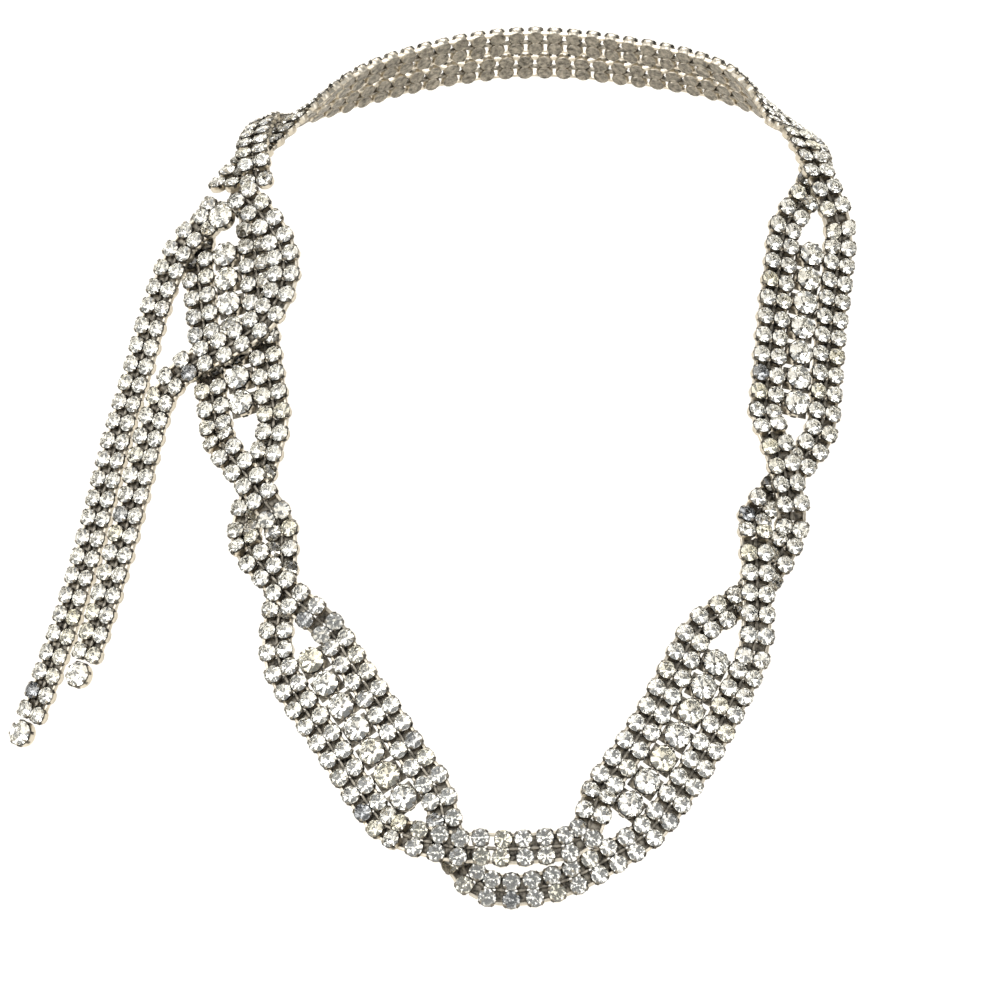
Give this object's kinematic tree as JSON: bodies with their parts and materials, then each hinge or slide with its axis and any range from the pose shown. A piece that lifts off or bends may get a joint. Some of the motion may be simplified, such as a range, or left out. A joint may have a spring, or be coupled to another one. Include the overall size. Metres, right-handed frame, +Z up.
{
  "type": "rhinestone bib necklace",
  "caption": "Worn bib necklace of two crossing bands of small clear stones, with panels of large stones between them and two loose tails at one side.",
  "frame": {"origin": "the nape of the wearer's neck, under the middle of the back stretch", "axes": "+Z up, -Y towards the front of the wearer, +X towards the side without tails"},
  "size_m": [0.2358, 0.1509, 0.2482],
  "materials": {
    "small_rhinestone_band": "silver-plated cup chain set with clear cut glass",
    "large_rhinestone": "clear foiled cut glass in a silver-plated claw cup",
    "clasp": "silver-plated, plain"
  },
  "bodies": {
    "root": {"strand_a": "small_rhinestone_band", "strand_b": "small_rhinestone_band", "tail_long": "small_rhinestone_band", "tail_short": "small_rhinestone_band", "clasp": "clasp", "clasp_stone": "large_rhinestone", "tail_long_end_stone": "large_rhinestone", "tail_short_end_stone": "large_rhinestone", "right_upper_stone_1": "large_rhinestone", "right_upper_stone_2": "large_rhinestone", "right_upper_stone_3": "large_rhinestone", "right_upper_stone_4": "large_rhinestone", "right_upper_stone_5": "large_rhinestone", "right_upper_stone_6": "large_rhinestone", "right_upper_stone_7": "large_rhinestone", "right_lower_stone_1": "large_rhinestone", "right_lower_stone_2": "large_rhinestone", "right_lower_stone_3": "large_rhinestone", "right_lower_stone_4": "large_rhinestone", "right_lower_stone_5": "large_rhinestone", "right_lower_stone_6": "large_rhinestone", "right_lower_stone_7": "large_rhinestone", "left_lower_stone_1": "large_rhinestone", "left_lower_stone_2": "large_rhinestone", "left_lower_stone_3": "large_rhinestone", "left_lower_stone_4": "large_rhinestone", "left_lower_stone_5": "large_rhinestone", "left_lower_stone_6": "large_rhinestone", "left_lower_stone_7": "large_rhinestone", "left_upper_stone_1": "large_rhinestone", "left_upper_stone_2": "large_rhinestone", "left_upper_stone_3": "large_rhinestone", "left_upper_stone_4": "large_rhinestone", "left_upper_stone_5": "large_rhinestone", "left_upper_stone_6": "large_rhinestone", "left_upper_stone_7": "large_rhinestone"}
  },
  "joints": []
}
